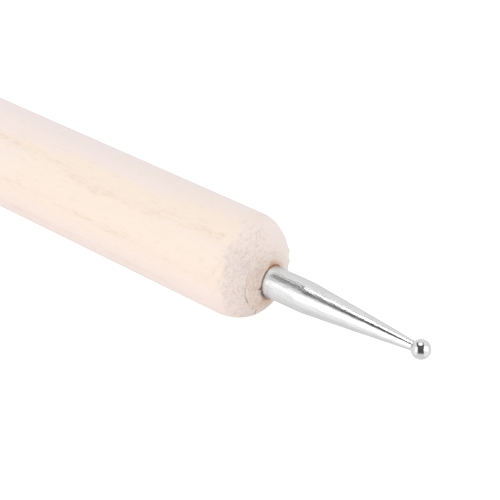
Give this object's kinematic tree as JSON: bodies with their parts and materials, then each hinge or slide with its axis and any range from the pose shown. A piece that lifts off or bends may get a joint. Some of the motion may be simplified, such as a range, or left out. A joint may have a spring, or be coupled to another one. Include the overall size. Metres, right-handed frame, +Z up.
{
  "type": "embossing stylus",
  "caption": "Double-ended embossing stylus: a round birch handle with rounded ends and a tapered steel shank at each end that carries a small polished ball.",
  "frame": {"origin": "middle of the handle's length, on the handle's axis", "axes": "+X along the handle towards the front ball, the smaller one; +Z up"},
  "size_m": [0.1307, 0.01, 0.01],
  "materials": {
    "birch": "sanded, unvarnished",
    "shank_steel": "bright, fine lengthwise polishing marks",
    "ball_steel": "mirror polish",
    "glue": "dark, dry adhesive"
  },
  "bodies": {
    "root": {"handle": "birch", "front_shank": "shank_steel", "rear_shank": "shank_steel", "front_ball": "ball_steel", "rear_ball": "ball_steel", "front_adhesive": "glue", "rear_adhesive": "glue"}
  },
  "joints": []
}
